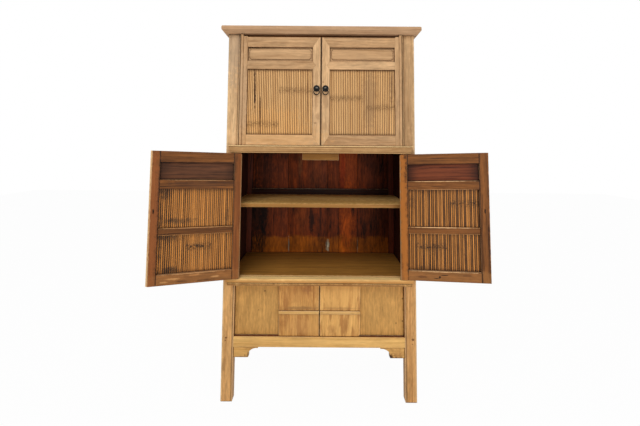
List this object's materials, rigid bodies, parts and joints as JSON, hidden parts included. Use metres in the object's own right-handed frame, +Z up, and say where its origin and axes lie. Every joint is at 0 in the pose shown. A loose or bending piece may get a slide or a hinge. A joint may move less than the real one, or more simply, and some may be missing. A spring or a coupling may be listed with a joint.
{
  "type": "tall cabinet",
  "caption": "Tall free-standing wooden cabinet with inward-leaning sides, pivoting doors with bamboo strip fields, and sliding panels in the base.",
  "frame": {"origin": "on the floor at the centre of the four posts' footprint", "axes": "+Z up, +X to the right seen from the front, +Y from the front to the back"},
  "size_m": [1.5751, 0.6401, 1.83],
  "materials": {
    "outer_wood": "bare scrubbed elm, satin",
    "base_wood": "warm scrubbed elm, satin",
    "door_inner_wood": "old brown lacquer, worn, matte",
    "bamboo": "split bamboo, pale and dry outside",
    "inner_lacquer": "dark maroon lacquer, worn",
    "shelf_wood": "unfinished boards, olive brown",
    "dark_iron": "blackened iron, rubbed"
  },
  "bodies": {
    "cabinet": {"post_front_left": "outer_wood", "post_front_right": "outer_wood", "post_rear_left": "outer_wood", "post_rear_right": "outer_wood", "cap_frame": "outer_wood", "cap_panel": "outer_wood", "top_rail": "inner_lacquer", "middle_rail": "outer_wood", "base_rail": "base_wood", "bottom_rail": "base_wood", "side_rails": "outer_wood", "rear_rails": "outer_wood", "side_panels": "outer_wood", "back_boards": "inner_lacquer", "upper_floor": "shelf_wood", "middle_floor": "shelf_wood", "base_floor": "shelf_wood", "upper_shelf": "shelf_wood", "middle_shelf": "shelf_wood", "cleats": "inner_lacquer", "fixed_base_panels": "base_wood", "stop_block": "outer_wood", "brackets": "base_wood"},
    "upper_left_door": {"upper_left_hinge_stile": "outer_wood", "upper_left_meeting_stile": "outer_wood", "upper_left_rails": "outer_wood", "upper_left_panel": "outer_wood", "upper_left_slats": "bamboo", "upper_left_batten": "inner_lacquer", "upper_left_plate": "dark_iron"},
    "upper_left_ring": {"upper_left_ring": "dark_iron"},
    "upper_right_door": {"upper_right_hinge_stile": "outer_wood", "upper_right_meeting_stile": "outer_wood", "upper_right_rails": "outer_wood", "upper_right_panel": "outer_wood", "upper_right_slats": "bamboo", "upper_right_batten": "inner_lacquer", "upper_right_plate": "dark_iron"},
    "upper_right_ring": {"upper_right_ring": "dark_iron"},
    "lower_left_door": {"lower_left_hinge_stile": "door_inner_wood", "lower_left_meeting_stile": "door_inner_wood", "lower_left_rails": "door_inner_wood", "lower_left_panel": "door_inner_wood", "lower_left_slats": "bamboo", "lower_left_batten": "door_inner_wood", "lower_left_plate": "dark_iron"},
    "lower_left_ring": {"lower_left_ring": "dark_iron"},
    "lower_right_door": {"lower_right_hinge_stile": "door_inner_wood", "lower_right_meeting_stile": "door_inner_wood", "lower_right_rails": "door_inner_wood", "lower_right_panel": "door_inner_wood", "lower_right_slats": "bamboo", "lower_right_batten": "door_inner_wood", "lower_right_plate": "dark_iron"},
    "lower_right_ring": {"lower_right_ring": "dark_iron"},
    "left_slider": {"left_sliding_panel": "base_wood", "left_slider_grip": "base_wood"},
    "right_slider": {"right_sliding_panel": "base_wood", "right_slider_grip": "base_wood"}
  },
  "joints": [
    {"name": "upper_left_door_hinge", "type": "hinge", "parent": "cabinet", "child": "upper_left_door", "pos_m": [-0.38712, -0.228, 1.5], "axis": [-0.0166, 0, -0.9999], "range_deg": [0, 175]},
    {"name": "upper_left_ring_hinge", "type": "hinge", "parent": "upper_left_door", "child": "upper_left_ring", "pos_m": [-0.0215, -0.2434, 1.5255], "axis": [-1, 0, 0], "range_deg": [0, 95]},
    {"name": "upper_right_door_hinge", "type": "hinge", "parent": "cabinet", "child": "upper_right_door", "pos_m": [0.38712, -0.228, 1.5], "axis": [-0.0166, 0, 0.9999], "range_deg": [0, 175]},
    {"name": "upper_right_ring_hinge", "type": "hinge", "parent": "upper_right_door", "child": "upper_right_ring", "pos_m": [0.0215, -0.2434, 1.5255], "axis": [-1, 0, 0], "range_deg": [0, 95]},
    {"name": "lower_left_door_hinge", "type": "hinge", "parent": "cabinet", "child": "lower_left_door", "pos_m": [-0.39707, -0.228, 0.9], "axis": [-0.0166, 0, -0.9999], "range_deg": [-159, 16]},
    {"name": "lower_left_ring_hinge", "type": "hinge", "parent": "lower_left_door", "child": "lower_left_ring", "pos_m": [-0.75161, -0.34794, 0.95561], "axis": [0.933, 0.3583, -0.0321], "range_deg": [0, 95]},
    {"name": "lower_right_door_hinge", "type": "hinge", "parent": "cabinet", "child": "lower_right_door", "pos_m": [0.39707, -0.228, 0.9], "axis": [-0.0166, 0, 0.9999], "range_deg": [-169.5, 5.5]},
    {"name": "lower_right_ring_hinge", "type": "hinge", "parent": "lower_right_door", "child": "lower_right_ring", "pos_m": [0.76751, -0.28116, 0.95587], "axis": [0.9827, -0.1822, 0.0329], "range_deg": [0, 95]},
    {"name": "left_panel_slide", "type": "slide", "parent": "cabinet", "child": "left_slider", "axis": [-1, 0, 0], "range_m": [0, 0.185]},
    {"name": "right_panel_slide", "type": "slide", "parent": "cabinet", "child": "right_slider", "axis": [1, 0, 0], "range_m": [0, 0.185]}
  ]
}
